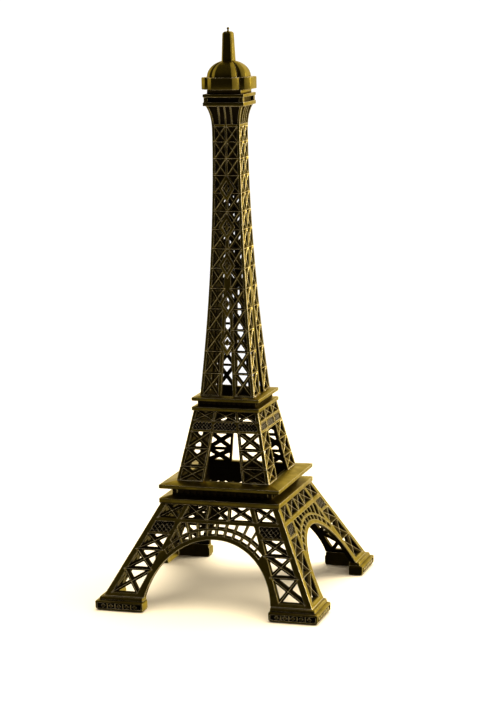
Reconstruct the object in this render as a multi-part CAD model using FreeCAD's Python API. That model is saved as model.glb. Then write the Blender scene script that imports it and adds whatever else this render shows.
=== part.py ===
import FreeCAD, Part
import math
import os

# Miniature lattice tower, millimetres. +Z is up, the origin is the middle of the footprint on the
# ground, and the front face looks towards -Y. Each face casting is drawn once as the front one, in
# (s, z): s runs along the face and z up it. Copies are turned about the tower's axis.

sides = ["front", "right", "back", "left"]
corners = ["front_right", "back_right", "back_left", "front_left"]
tongue = 1.0                 # depth that a casting's tongue enters its groove

# feet
foot_inner = 20.4
foot_outer = 36.3
foot_rim_top = 3.1
foot_top = 4.4
foot_strip = 4.7             # the foot is an angle in plan, this wide, open towards the inside
dentil_count = 6

# lower storey: four straight leaning faces with an arch
arch_half_ground = 36.37     # half-width of a face, produced down to the ground
arch_lean = 0.534
arch_top = 31.5
arch_thick = 2.0
outer_stile = 2.2
inner_stile = 1.7
arch_radius = 20.8
arch_centre_z = 1.0
ring_outer = 22.2            # thick arch ring
ladder_outer = 23.5          # row of small windows outside it
upper_ring_outer = 24.3
ladder_windows = 12
ladder_pitch = math.radians(7.25)
tie_width = 0.75
beam_low = 26.25
beam_high = 27.45
leg_width = 10.7             # from the face's edge to the leg's inner edge, at the ground
leg_taper = 0.085
frieze_upright_low = 3.6     # the uprights beside the middle bay of the frieze
frieze_upright_lean = 0.08
frieze_upright_half = 0.4
leg_bays = [(5.5, 11.8), (12.75, 17.6), (18.55, 22.55)]
leg_mesh = (23.3, 26.25)
frieze = (27.45, 31.3)
leg_bar = 1.25
frieze_bar = 1.05
mesh_bar = 0.4
mesh_pitch = 1.5             # up the face, from one diagonal to the next
mesh_depth = 0.8             # the mesh is blind: relief on a closed web

# first platform
first_opening = 13.9
first_plate_half = 19.86
first_plate_top = 33.8
first_gallery_half = 16.44
first_deck_low = 36.2
first_deck_half = 19.87
first_deck_top = 38.2
first_screw_at = 15.2
first_screw_radius = 0.8
first_screw_head = 1.4
first_screw_bite = 0.9       # how far the screws reach into the deck
first_niches = 14

# middle storey
mid_half_low = 15.35
mid_lean = 0.2132
mid_top = 60.1
mid_thick = 1.3
mid_stile = 1.2
mid_inner_stile = 0.75
mid_gap_low = 6.2            # half-width of the gap between the legs, just above the deck
mid_gap_lean = 0.147
mid_bays = [(38.45, 42.1), (43.1, 47.8), (48.8, 53.5)]
mid_mesh = (54.35, 56.6)
mid_frieze = (57.15, 59.95)
mid_bar = 1.5
mid_frieze_bar = 0.9
mid_mesh_pitch = 1.1
mid_mesh_bar = 0.32
mid_mesh_depth = 0.6

# second platform
second_opening = 7.8
second_plate_half = 11.17
second_plate_top = 61.6
second_gallery_half = 9.6
second_deck_low = 63.2
second_deck_top = 64.6
second_screw_at = 8.7
second_screw_radius = 0.45
second_screw_head = 0.8
second_screw_bite = 0.6
second_niches = 11

# shaft
shaft_top = 155.9
shaft_waist = 4.55           # narrowest half-width
shaft_spread = 4.45          # how much wider the foot of the shaft is
shaft_spread_power = 1.87
shaft_flare = 1.45           # how much wider the head of the shaft is
shaft_flare_power = 3.3
shaft_waist_z = 146.0
shaft_thick = 1.1
shaft_stile = 1.0
shaft_bay_count = 14
shaft_first_bay = 7.15
shaft_bay_shrink = 0.165     # each bay is this much lower than the one below it
shaft_blind_bays = 4         # the highest bays are relief only
shaft_blind_depth = 0.7
shaft_cross_bar = 0.75
shaft_bar = 1.2
gap_half_low = 2.0           # open slot between the two lattice columns, closing upwards
gap_close = 0.0515
gap_stile = 1.05
centre_stile_half = 0.4
flute_low = 150.2
flute_depth = 0.6
flute_rib = 0.55
flute_spacing = 2.0
ornament_count = 5
ornament_high_z = 130.2
ornament_pitch = 12.1
ornament_half_height = 4.2
ornament_half_width = 2.6
ornament_relief = 0.45

# top platform, cabin, dome and spire
third_plate_half = 6.69
third_plate_top = 157.1
third_gallery_half = 6.45
third_recess_half = 5.1
third_recess_depth = 0.9
third_gallery_top = 158.6
third_deck_top = 159.6
neck_half = 5.6
neck_top = 160.9
cabin_top = 164.7
cabin_core = 5.0
balcony_shoulder = 6.4
balcony_out = 8.0
balcony_face_half = 3.4
dome_height = 5.2
dome_inset = 0.8             # dome's plan as a share of the cabin's
spire_foot = 169.3
spire_half_low = 1.9
spire_half_high = 1.58
spire_shoulder = 177.8
spire_top = 178.7
stud_radius = 0.9
stud_length = 2.8
tip_pin_radius = 0.25
tip_radius = 0.42
top_screw_radius = 1.2
top_screw_head = 2.2
tower_height = 180.0


def point(x, y, z):
    return FreeCAD.Vector(x, y, z)


def turned(shape, quarter_turns):
    copy = shape.copy()
    copy.rotate(point(0, 0, 0), point(0, 0, 1), 90 * quarter_turns)
    return copy


def all_turns(shapes):
    return [turned(shape, turn) for turn in range(4) for shape in shapes]


def arch_half(z):
    return arch_half_ground - arch_lean * z


def mid_half(z):
    return mid_half_low - mid_lean * (z - first_deck_top)


def shaft_half(z):
    if z < shaft_waist_z:
        below = (shaft_waist_z - z) / (shaft_waist_z - second_deck_top)
        return shaft_waist + shaft_spread * below ** shaft_spread_power
    above = (z - shaft_waist_z) / (shaft_top - shaft_waist_z)
    return shaft_waist + shaft_flare * above ** shaft_flare_power


# ---- outlines in (s, z) -------------------------------------------------------------------------

def beside(outline, start, end, offset):
    """The part of a convex outline on the left of the line start-end, offset or more away from it."""
    run = math.hypot(end[0] - start[0], end[1] - start[1])
    along = ((end[0] - start[0]) / run, (end[1] - start[1]) / run)

    def depth(p):
        return along[0] * (p[1] - start[1]) - along[1] * (p[0] - start[0]) - offset

    kept = []
    for here, there in zip(outline, outline[1:] + outline[:1]):
        d_here, d_there = depth(here), depth(there)
        if d_here >= 0:
            kept.append(here)
        if (d_here > 0 > d_there) or (d_here < 0 < d_there):
            t = d_here / (d_here - d_there)
            kept.append((here[0] + t * (there[0] - here[0]), here[1] + t * (there[1] - here[1])))
    return kept


def area(outline):
    pairs = zip(outline, outline[1:] + outline[:1])
    return 0.5 * sum(a[0] * b[1] - b[0] * a[1] for a, b in pairs)


def mirrored(outline):
    return [(-s, z) for s, z in reversed(outline)]


def both_halves(outlines):
    return outlines + [mirrored(outline) for outline in outlines]


def bay(left, right, span):
    """Four corners between two edges given as functions of z."""
    low, high = span
    return [(left(low), low), (right(low), low), (right(high), high), (left(high), high)]


def cross(quad, bar):
    """The four openings that a pair of diagonal bars leaves in a bay."""
    low_left, low_right, high_right, high_left = quad
    openings = []
    for first in ((low_left, high_right), (high_right, low_left)):
        for second in ((low_right, high_left), (high_left, low_right)):
            opening = beside(quad, first[0], first[1], bar / 2)
            opening = beside(opening, second[0], second[1], bar / 2)
            openings.append(opening)
    return openings


def lanes(outline, slope, pitch, bar):
    """Strips of an outline between parallel diagonal bars."""
    rises = [z - slope * s for s, z in outline]
    strips = []
    for i in range(math.floor(min(rises) / pitch), math.ceil(max(rises) / pitch)):
        low, high = i * pitch, (i + 1) * pitch
        strip = beside(outline, (0, low), (1, low + slope), bar / 2)
        strip = beside(strip, (1, high + slope), (0, high), bar / 2)
        if len(strip) > 2:
            strips.append(strip)
    return strips


def diamonds(quad, pitch, bar):
    """The openings of a fine diagonal mesh, cut off at the edges of the bay."""
    openings = []
    for strip in lanes(quad, 1, pitch, bar):
        openings += lanes(strip, -1, pitch, bar)
    return [opening for opening in openings if area(opening) > 0.12]


# ---- solids -------------------------------------------------------------------------------------

def prism(outline, near=-45.0, far=-1.0):
    """An outline of the front face, run through the face along Y."""
    corners_3d = [point(s, near, z) for s, z in outline]
    wire = Part.makePolygon(corners_3d + corners_3d[:1])
    return Part.Face(wire).extrude(point(0, far - near, 0))


def square_wire(low, high, z):
    ring = [point(low, low, z), point(high, low, z), point(high, high, z), point(low, high, z)]
    return Part.makePolygon(ring + ring[:1])


def stack(levels):
    """A square block about the axis, through (z, half-width) levels."""
    return Part.makeLoft([square_wire(-half, half, z) for z, half in levels], True, True)


def block(x_low, x_high, y_low, y_high, z_low, z_high):
    corner = point(x_low, y_low, z_low)
    return Part.makeBox(x_high - x_low, y_high - y_low, z_high - z_low, corner)


def mitred_slab(low, high, half, thick):
    """A leaning face casting, cut at 45 degrees where it meets its neighbours."""
    wires = []
    for z in (low, high):
        out, inside = half(z), half(z) - thick
        ring = [point(-out, -out, z), point(out, -out, z),
                point(inside, -inside, z), point(-inside, -inside, z)]
        wires.append(Part.makePolygon(ring + ring[:1]))
    return Part.makeLoft(wires, True, True)


def pierced(solid, outlines):
    return solid.cut(Part.makeCompound([prism(outline) for outline in outlines if area(outline) > 0.02]))


def relief(layer, outlines):
    """The outlines cut no deeper than a layer of the face."""
    return layer.common(Part.makeCompound([prism(outline) for outline in outlines]))


def screw(radius, head_radius, low, high, x=0.0, y=0.0):
    """Countersunk, head down, with a cross-slot."""
    head_height = head_radius - radius
    head = Part.makeCone(head_radius, radius, head_height, point(x, y, low))
    shank = Part.makeCylinder(radius, high - low, point(x, y, low))
    slot_half, slot_deep = head_radius * 0.65, head_height * 0.6
    slot_wide = head_radius * 0.14
    slots = [block(x - slot_half, x + slot_half, y - slot_wide, y + slot_wide, low, low + slot_deep),
             block(x - slot_wide, x + slot_wide, y - slot_half, y + slot_half, low, low + slot_deep)]
    return head.fuse(shank).cut(slots[0].fuse(slots[1]))


def screw_hole(radius, head_radius, low, high, x=0.0, y=0.0):
    head = Part.makeCone(head_radius, radius, head_radius - radius, point(x, y, low))
    return head.fuse(Part.makeCylinder(radius, high - low, point(x, y, low)))


# ---- lower storey -------------------------------------------------------------------------------

def leg_outer_edge(z):
    return arch_half(z) - outer_stile


def leg_inner_edge(z):
    return arch_half(z) - leg_width + leg_taper * z


def stile_inner_edge(z):
    return leg_inner_edge(z) - inner_stile


def frieze_upright(z):
    return frieze_upright_low - frieze_upright_lean * (z - frieze[0])


def arch_tongues():
    foot_half = arch_half(foot_top)
    top_half = arch_half(arch_top)
    tongues = [block(-17.0, 17.0, 0.5 - top_half, 1.6 - top_half, arch_top, arch_top + tongue)]
    for low, high in ((23.0, 31.0), (-31.0, -23.0)):
        tongues.append(block(low, high, 0.5 - foot_half, 1.5 - foot_half, foot_top - 1.5, foot_top))
    return tongues


def arch_windows():
    """Row of small windows that follows the arch."""
    windows = []
    half_turn = ladder_pitch / 2 - math.asin(tie_width / 2 / ladder_outer)
    for i in range(ladder_windows):
        middle = (i - (ladder_windows - 1) / 2) * ladder_pitch
        ring = Part.makeCylinder(ladder_outer, 50, point(0, -50, arch_centre_z), point(0, 1, 0))
        ring = ring.cut(Part.makeCylinder(ring_outer, 50, point(0, -50, arch_centre_z), point(0, 1, 0)))
        windows.append(ring.common(prism(fan(middle - half_turn, middle + half_turn))))
    return windows


def fan(start, end):
    """Wedge from the arch's centre between two angles measured from straight up."""
    reach = 40.0
    tips = [(reach * math.sin(a), arch_centre_z + reach * math.cos(a)) for a in (end, start)]
    return [(0.0, arch_centre_z)] + tips


def spandrel_openings():
    """Openings between the upper ring and the beam, parted by struts in line with the windows."""
    keep_out = Part.makeCylinder(upper_ring_outer, 50, point(0, -50, arch_centre_z), point(0, 1, 0))
    half_turn = ladder_pitch / 2 - math.asin(tie_width / 2 / 26.0)
    openings = []
    for i in range(ladder_windows):
        middle = (i - (ladder_windows - 1) / 2) * ladder_pitch
        cell = fan(middle - half_turn, middle + half_turn)
        cell = beside(cell, (1.0, beam_low), (0.0, beam_low), 0.0)
        for side in (1, -1):
            foot = (side * stile_inner_edge(0.0), 0.0)
            head = (side * stile_inner_edge(beam_low), beam_low)
            edge = (foot, head) if side > 0 else (head, foot)
            cell = beside(cell, edge[0], edge[1], 0.0)
        opening = prism(cell).cut(keep_out)
        if opening.Volume > 8.0:
            openings.append(opening)
    return openings


def arch_panel():
    slab = mitred_slab(foot_top, arch_top, arch_half, arch_thick)
    for piece in arch_tongues():
        slab = slab.fuse(piece)
    slab = slab.cut(Part.makeCylinder(arch_radius, 60, point(0, -50, arch_centre_z), point(0, 1, 0)))
    outlines = []
    for span in leg_bays:
        outlines += both_halves(cross(bay(leg_inner_edge, leg_outer_edge, span), leg_bar))
    outlines += both_halves(cross(bay(leg_inner_edge, leg_outer_edge, frieze), frieze_bar))
    half = frieze_upright_half
    side_bay = bay(lambda z: frieze_upright(z) + half, stile_inner_edge, frieze)
    outlines += both_halves(cross(side_bay, frieze_bar))
    middle_bay = bay(lambda z: half - frieze_upright(z), lambda z: frieze_upright(z) - half, frieze)
    outlines += cross(middle_bay, frieze_bar)
    panel = pierced(slab, outlines).cut(Part.makeCompound(arch_windows() + spandrel_openings()))
    layer = mitred_slab(foot_top, arch_top, arch_half, mesh_depth)
    mesh = both_halves(diamonds(bay(leg_inner_edge, leg_outer_edge, leg_mesh), mesh_pitch, mesh_bar))
    return panel.cut(relief(layer, mesh))


def foot():
    """Front-right foot: an angle in plan, with a relief band round its rim and a step for the leg."""
    rim_levels = [(0.0, foot_inner + 0.5, foot_outer - 0.8), (0.8, foot_inner, foot_outer - 0.05),
                  (foot_rim_top, foot_inner, foot_outer)]
    step_levels = [(foot_rim_top, foot_inner + 0.3, foot_outer - 1.2),
                   (foot_top, foot_inner + 0.5, foot_outer - 1.7)]
    solids = []
    for levels in (rim_levels, step_levels):
        solids.append(Part.makeLoft([square_wire(low, high, z) for z, low, high in levels], True, True))
    body = solids[0].fuse(solids[1])
    body.rotate(point(0, 0, 0), point(0, 0, 1), -90)
    inside = foot_outer - foot_strip
    body = body.cut(block(0.0, inside, -inside, 0.0, -1.0, foot_top + 1.0))
    pitch = (foot_outer - foot_inner - 1.6) / dentil_count
    pockets = []
    for i in range(dentil_count):
        middle = foot_inner + 0.8 + (i + 0.5) * pitch
        half = pitch * 0.28
        pockets.append(block(middle - half, middle + half, -foot_outer - 1, 0.4 - foot_outer, 0.9, 2.4))
        pockets.append(block(foot_outer - 0.4, foot_outer + 1, -middle - half, half - middle, 0.9, 2.4))
    sockets = all_turns(arch_tongues())
    return body.cut(Part.makeCompound(pockets)).cut(Part.makeCompound(sockets))


# ---- platforms ----------------------------------------------------------------------------------

def opened(solid, half):
    return solid.cut(block(-half, half, -half, half, 0.0, tower_height))


def at_corners(make, reach, radius, head_radius, low, high):
    """Four screws, or the holes for them, one in each corner of a platform."""
    places = [(reach, -reach), (reach, reach), (-reach, reach), (-reach, -reach)]
    return [make(radius, head_radius, low, high, x, y) for x, y in places]


def first_fastening(make):
    return at_corners(make, first_screw_at, first_screw_radius, first_screw_head,
                      arch_top, first_deck_low + first_screw_bite)


def second_fastening(make):
    return at_corners(make, second_screw_at, second_screw_radius, second_screw_head,
                      mid_top, second_deck_low + second_screw_bite)


def niches(half, low, high, count, deep):
    """Shallow niches in a row along all four gallery walls."""
    pitch = 2 * half * 0.94 / count
    cuts = []
    for i in range(count):
        middle = (i + 0.5 - count / 2) * pitch
        cuts.append(block(middle - pitch * 0.36, middle + pitch * 0.36, -half - 1, deep - half, low, high))
    return Part.makeCompound(all_turns(cuts))


def first_plate():
    edge = first_plate_half
    levels = [(arch_top, edge - 0.3), (arch_top + 0.3, edge), (arch_top + 1.65, edge),
              (first_plate_top, first_gallery_half)]
    body = opened(stack(levels), first_opening)
    return body.cut(Part.makeCompound(all_turns(arch_tongues()[:1]) + first_fastening(screw_hole)))


def first_gallery():
    wall = stack([(first_plate_top, first_gallery_half), (first_deck_low, first_gallery_half)])
    body = opened(wall, first_opening)
    low, high = first_plate_top + 0.3, first_deck_low - 0.4
    body = body.cut(niches(first_gallery_half, low, high, first_niches, 0.4))
    return body.cut(Part.makeCompound(first_fastening(screw_hole)))


def first_deck():
    edge = first_deck_half
    levels = [(first_deck_low, edge - 0.2), (first_deck_low + 0.2, edge), (first_deck_low + 1.3, edge),
              (first_deck_top, mid_half_low)]
    body = opened(stack(levels), first_opening)
    return body.cut(Part.makeCompound(all_turns(mid_tongues()[1:]) + first_fastening(screw_hole)))


def second_plate():
    edge = second_plate_half
    levels = [(mid_top, edge - 0.2), (mid_top + 0.2, edge), (mid_top + 1.2, edge),
              (second_plate_top, second_gallery_half)]
    body = opened(stack(levels), second_opening)
    return body.cut(Part.makeCompound(all_turns(mid_tongues()[:1]) + second_fastening(screw_hole)))


def second_gallery():
    body = opened(stack([(second_plate_top, second_gallery_half), (second_deck_low, second_gallery_half)]),
                  second_opening)
    low, high = second_plate_top + 0.25, second_deck_low - 0.3
    body = body.cut(niches(second_gallery_half, low, high, second_niches, 0.3))
    return body.cut(Part.makeCompound(second_fastening(screw_hole)))


def second_deck():
    edge = second_plate_half
    levels = [(second_deck_low, edge - 0.15), (second_deck_low + 0.15, edge), (second_deck_low + 1.1, edge),
              (second_deck_top, shaft_half(second_deck_top))]
    body = opened(stack(levels), second_opening)
    return body.cut(Part.makeCompound(all_turns(shaft_tongues()[1:]) + second_fastening(screw_hole)))


# ---- middle storey ------------------------------------------------------------------------------

def mid_outer_edge(z):
    return mid_half(z) - mid_stile


def gap_edge(z):
    return mid_gap_low - mid_gap_lean * (z - first_deck_top - 0.8)


def mid_inner_edge(z):
    return gap_edge(z) + mid_inner_stile


def mid_tongues():
    top_half = mid_half(mid_top)
    low_half = mid_half_low
    tongues = [block(-8.5, 8.5, 0.3 - top_half, 0.95 - top_half, mid_top, mid_top + tongue * 0.7)]
    for low, high in ((6.8, 13.8), (-13.8, -6.8)):
        tongues.append(block(low, high, 0.35 - low_half, 1.0 - low_half,
                             first_deck_top - tongue, first_deck_top))
    return tongues


def mid_panel():
    slab = mitred_slab(first_deck_top, mid_top, mid_half, mid_thick)
    for piece in mid_tongues():
        slab = slab.fuse(piece)
    outlines = [bay(lambda z: -gap_edge(z), gap_edge, (first_deck_top - 0.5, mid_bays[-1][1]))]
    for span in mid_bays:
        outlines += both_halves(cross(bay(mid_inner_edge, mid_outer_edge, span), mid_bar))
    outlines += both_halves(cross(bay(mid_inner_edge, mid_outer_edge, mid_frieze), mid_frieze_bar))
    outlines += cross(bay(lambda z: -gap_edge(z), gap_edge, mid_frieze), mid_frieze_bar)
    panel = pierced(slab, outlines)
    mesh = both_halves(diamonds(bay(mid_inner_edge, mid_outer_edge, mid_mesh), mid_mesh_pitch, mid_mesh_bar))
    mesh += diamonds(bay(lambda z: -gap_edge(z), gap_edge, mid_mesh), mid_mesh_pitch, mid_mesh_bar)
    return panel.cut(relief(mitred_slab(first_deck_top, mid_top, mid_half, mid_mesh_depth), mesh))


# ---- shaft --------------------------------------------------------------------------------------

def shaft_floors():
    floors = [second_deck_top]
    for i in range(shaft_bay_count):
        floors.append(floors[-1] + shaft_first_bay - shaft_bay_shrink * i)
    return floors


def shaft_outer_edge(z):
    return shaft_half(z) - shaft_stile


def shaft_inner_edge(z):
    open_edge = gap_half_low + gap_stile - gap_close * (z - second_deck_top)
    return max(centre_stile_half, open_edge)


def shaft_strip(outside, inside, low, high, half_width):
    """A band that follows the shaft's curve, from one offset of the face to another."""
    levels = [low + (high - low) * i / 12 for i in range(13)]
    curves = []
    for offset in (outside, inside):
        curve = Part.BSplineCurve()
        curve.interpolate([point(-half_width, -shaft_half(z) - offset, z) for z in levels])
        curves.append(curve.toShape())
    ends = []
    for z in (low, high):
        outer = point(-half_width, -shaft_half(z) - outside, z)
        ends.append(Part.makeLine(outer, outer + point(0, outside - inside, 0)))
    wire = Part.Wire(Part.__sortEdges__(curves + ends))
    return Part.Face(wire).extrude(point(2 * half_width, 0, 0))


def shaft_tongues():
    top_half = shaft_half(shaft_top)
    low_half = shaft_half(second_deck_top)
    tongues = [block(-4.6, 4.6, 0.3 - top_half, 0.8 - top_half, shaft_top, shaft_top + tongue * 0.7)]
    for low, high in ((3.3, 7.9), (-7.9, -3.3)):
        tongues.append(block(low, high, 0.3 - low_half, 0.8 - low_half,
                             second_deck_top - 0.6, second_deck_top))
    return tongues


def flutes():
    """Blind slots between the ribs of the flare."""
    ribs = [-flute_spacing, 0.0, flute_spacing]
    edge = shaft_half(flute_low) - 0.8
    starts = [-edge] + [s + flute_rib / 2 for s in ribs]
    ends = [s - flute_rib / 2 for s in ribs] + [edge]
    band = shaft_strip(0.5, -flute_depth, flute_low, shaft_top - 0.3, 8.0)
    return [band.common(block(a, b, -10, 0, flute_low, shaft_top)) for a, b in zip(starts, ends)]


def shaft_panel():
    wedge = Part.makePolygon([point(0, 0, 60), point(-20, -20, 60), point(20, -20, 60), point(0, 0, 60)])
    wedge = Part.Face(wedge).extrude(point(0, 0, 100))
    slab = shaft_strip(0.0, -shaft_thick, second_deck_top, shaft_top, 12.0).common(wedge)
    for piece in shaft_tongues():
        slab = slab.fuse(piece)
    floors = shaft_floors()
    bays = []
    for low, high in zip(floors, floors[1:]):
        span = (low + shaft_cross_bar / 2, high - shaft_cross_bar / 2)
        bays.append(both_halves(cross(bay(shaft_inner_edge, shaft_outer_edge, span), shaft_bar)))
    outlines = sum(bays[:-shaft_blind_bays], [])
    blind = sum(bays[-shaft_blind_bays:], [])
    gap_top = second_deck_top + (gap_half_low - 0.3) / gap_close
    outlines.append([(-gap_half_low, second_deck_top - 0.4), (gap_half_low, second_deck_top - 0.4),
                     (0.3, gap_top), (-0.3, gap_top)])
    layer = shaft_strip(0.5, -shaft_blind_depth, floors[-shaft_blind_bays - 1], floors[-1], 8.0)
    return pierced(slab, outlines).cut(Part.makeCompound(flutes() + [relief(layer, blind)]))


def front_shaft_panel():
    """The front casting also carries a row of raised lozenges."""
    band = shaft_strip(ornament_relief, -0.5, second_deck_top, shaft_top, 8.0)
    panel = shaft_panel()
    for i in range(ornament_count):
        middle = ornament_high_z - i * ornament_pitch
        outline = [(0.0, middle - ornament_half_height), (ornament_half_width, middle),
                   (0.0, middle + ornament_half_height), (-ornament_half_width, middle)]
        panel = panel.fuse(band.common(prism(outline, -20.0)))
    return panel


# ---- top ----------------------------------------------------------------------------------------

def top_screw_hole():
    return Part.makeCylinder(top_screw_radius, cabin_top - 1.2 - shaft_top, point(0, 0, shaft_top))


def top_screw():
    head = Part.makeCylinder(top_screw_head, 1.3, point(0, 0, shaft_top - 1.3))
    slot = block(-2.5, 2.5, -0.3, 0.3, shaft_top - 1.3, shaft_top - 0.7)
    return head.cut(slot).fuse(top_screw_hole())


def third_plate():
    levels = [(shaft_top, third_plate_half - 0.35), (shaft_top + 0.35, third_plate_half),
              (third_plate_top, third_plate_half)]
    sockets = all_turns(shaft_tongues()[:1])
    return stack(levels).cut(Part.makeCompound(sockets + [top_screw_hole()]))


def third_gallery():
    half = third_gallery_half
    body = stack([(third_plate_top, half), (third_gallery_top, half)])
    recess = block(-third_recess_half, third_recess_half, -half - 1, third_recess_depth - half,
                   third_plate_top, third_gallery_top)
    return body.cut(Part.makeCompound(all_turns([recess]) + [top_screw_hole()]))


def third_deck():
    half = third_plate_half
    levels = [(third_gallery_top, half), (third_deck_top - 0.2, half), (third_deck_top, half - 0.2)]
    return stack(levels).cut(top_screw_hole())


def cabin_neck():
    return stack([(third_deck_top, neck_half), (neck_top, neck_half)]).cut(top_screw_hole())


def cabin_wire(scale, z):
    """Plan of the cabin: a square core with a bow-fronted balcony on each side."""
    arm = [(cabin_core, -cabin_core), (cabin_core, -balcony_shoulder), (balcony_face_half, -balcony_out),
           (-balcony_face_half, -balcony_out), (-cabin_core, -balcony_shoulder)]
    ring = []
    for turn in range(4):
        angle = -turn * math.pi / 2
        for x, y in arm:
            ring.append(point(scale * (x * math.cos(angle) - y * math.sin(angle)),
                              scale * (x * math.sin(angle) + y * math.cos(angle)), z))
    return Part.makePolygon(ring + ring[:1])


def cabin():
    plan = Part.Face(cabin_wire(1.0, neck_top))
    return plan.extrude(point(0, 0, cabin_top - neck_top)).cut(top_screw_hole())


def dome():
    """The cabin's plan closing in along a quarter ellipse, with the spire's seat and socket in the crown."""
    wires = []
    for step in range(8):
        rise = math.radians(11 * step)
        wires.append(cabin_wire(dome_inset * math.cos(rise), cabin_top + dome_height * math.sin(rise)))
    body = Part.makeLoft(wires, True, True)
    seat = block(-spire_half_low, spire_half_low, -spire_half_low, spire_half_low, spire_foot, cabin_top + 8)
    return body.cut(seat).cut(spire_stud())


def spire_stud():
    return Part.makeCylinder(stud_radius, stud_length, point(0, 0, spire_foot - stud_length))


def spire():
    levels = [(spire_foot, spire_half_low), (spire_shoulder, spire_half_high),
              (spire_shoulder + 0.45, spire_half_high - 0.35), (spire_top, spire_half_high - 0.8)]
    return stack(levels).fuse(spire_stud()).cut(tip_pin())


def tip_pin():
    return Part.makeCylinder(tip_pin_radius, 1.0, point(0, 0, spire_top - 1.0))


def spire_tip():
    bead = Part.makeSphere(tip_radius, point(0, 0, tower_height - tip_radius))
    neck = Part.makeCone(0.42, 0.22, tower_height - tip_radius - spire_top, point(0, 0, spire_top))
    return bead.fuse(neck).fuse(tip_pin())


# ---- the set of pieces --------------------------------------------------------------------------

def build():
    pieces = {}
    front_right_foot = foot()
    for turn, name in enumerate(corners):
        pieces["foot_" + name] = turned(front_right_foot, turn)
    arch = arch_panel()
    mid = mid_panel()
    shaft = shaft_panel()
    for turn, name in enumerate(sides):
        pieces["arch_panel_" + name] = turned(arch, turn)
        pieces["mid_panel_" + name] = turned(mid, turn)
        pieces["shaft_panel_" + name] = turned(shaft, turn)
    pieces["shaft_panel_front"] = front_shaft_panel()
    pieces["first_platform_plate"] = first_plate()
    pieces["first_platform_gallery"] = first_gallery()
    pieces["first_platform_deck"] = first_deck()
    pieces["second_platform_plate"] = second_plate()
    pieces["second_platform_gallery"] = second_gallery()
    pieces["second_platform_deck"] = second_deck()
    pieces["first_platform_screws"] = Part.makeCompound(first_fastening(screw))
    pieces["second_platform_screws"] = Part.makeCompound(second_fastening(screw))
    pieces["third_platform_plate"] = third_plate()
    pieces["third_platform_gallery"] = third_gallery()
    pieces["third_platform_deck"] = third_deck()
    pieces["cabin_neck"] = cabin_neck()
    pieces["cabin"] = cabin()
    pieces["dome"] = dome()
    pieces["spire"] = spire()
    pieces["spire_tip"] = spire_tip()
    pieces["top_screw"] = top_screw()
    return pieces


os.makedirs("parts", exist_ok=True)
for name, shape in build().items():
    shape.exportStep("parts/" + name + ".step")
    box = shape.BoundBox
    print(name, shape.isValid(), len(shape.Solids), round(shape.Volume, 1),
          [round(v, 2) for v in (box.XMin, box.XMax, box.YMin, box.YMax, box.ZMin, box.ZMax)])
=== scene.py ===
import math
import bpy
import bmesh
from mathutils import Matrix, Vector


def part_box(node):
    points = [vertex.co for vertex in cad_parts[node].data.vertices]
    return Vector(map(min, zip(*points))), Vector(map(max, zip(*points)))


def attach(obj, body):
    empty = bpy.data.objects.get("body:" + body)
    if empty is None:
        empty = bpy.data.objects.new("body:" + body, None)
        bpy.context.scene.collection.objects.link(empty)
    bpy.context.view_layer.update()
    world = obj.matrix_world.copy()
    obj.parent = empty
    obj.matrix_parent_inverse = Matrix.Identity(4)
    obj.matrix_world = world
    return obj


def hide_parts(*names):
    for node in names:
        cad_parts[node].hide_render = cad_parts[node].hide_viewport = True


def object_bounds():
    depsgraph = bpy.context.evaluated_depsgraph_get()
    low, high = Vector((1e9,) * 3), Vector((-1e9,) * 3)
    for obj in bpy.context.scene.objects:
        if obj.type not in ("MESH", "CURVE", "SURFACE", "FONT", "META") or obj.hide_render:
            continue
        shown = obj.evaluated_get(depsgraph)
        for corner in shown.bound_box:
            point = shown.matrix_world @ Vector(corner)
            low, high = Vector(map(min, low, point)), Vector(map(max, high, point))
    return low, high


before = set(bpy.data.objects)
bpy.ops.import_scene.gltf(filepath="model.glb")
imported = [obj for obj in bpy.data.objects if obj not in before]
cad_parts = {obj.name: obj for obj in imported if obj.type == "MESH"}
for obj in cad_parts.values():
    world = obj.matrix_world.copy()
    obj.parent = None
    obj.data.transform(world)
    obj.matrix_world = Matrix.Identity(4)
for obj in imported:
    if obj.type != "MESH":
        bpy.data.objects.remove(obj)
cadBox = [list(corner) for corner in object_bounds()]
print("frame loaded:", len(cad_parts), "nodes")

# Shapes are worked out in millimetres and written to the meshes in metres.
mm = 0.001
sideNames = ["front", "right", "back", "left"]


def boxOf(node):
    low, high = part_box(node)
    return low / mm, high / mm


footTop = boxOf("foot_front_right")[1].z
archTop = boxOf("first_platform_plate")[0].z
firstDeckTop = boxOf("first_platform_deck")[1].z
midTop = boxOf("second_platform_plate")[0].z
secondDeckTop = boxOf("second_platform_deck")[1].z
shaftTop = boxOf("third_platform_plate")[0].z


# outlines: lists of (s, z, kind), anticlockwise; kind says what the edge that starts there borders

def clipOutline(outline, start, end, gap, kind):
    # keeps what lies on the left of the line, gap or more away from it
    run = math.dist(start, end)
    alongS, alongZ = (end[0] - start[0]) / run, (end[1] - start[1]) / run

    def depthOf(corner):
        return alongS * (corner[1] - start[1]) - alongZ * (corner[0] - start[0]) - gap

    kept = []
    for here, there in zip(outline, outline[1:] + outline[:1]):
        a, b = depthOf(here), depthOf(there)
        if a >= 0:
            kept.append(here)
        if (a > 0 > b) or (a < 0 < b):
            t = a / (a - b)
            s, z = here[0] + t * (there[0] - here[0]), here[1] + t * (there[1] - here[1])
            kept.append((s, z, kind if a > 0 else here[2]))
    return kept


def areaOf(outline):
    pairs = zip(outline, outline[1:] + outline[:1])
    return 0.5 * sum(a[0] * b[1] - b[0] * a[1] for a, b in pairs)


def mirrored(outline):
    # edge kinds stay with their edges when the order is turned round
    count = len(outline)
    flipped = []
    for i in range(count - 1, -1, -1):
        flipped.append((-outline[i][0], outline[i][1], outline[i - 1][2]))
    return flipped


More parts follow.
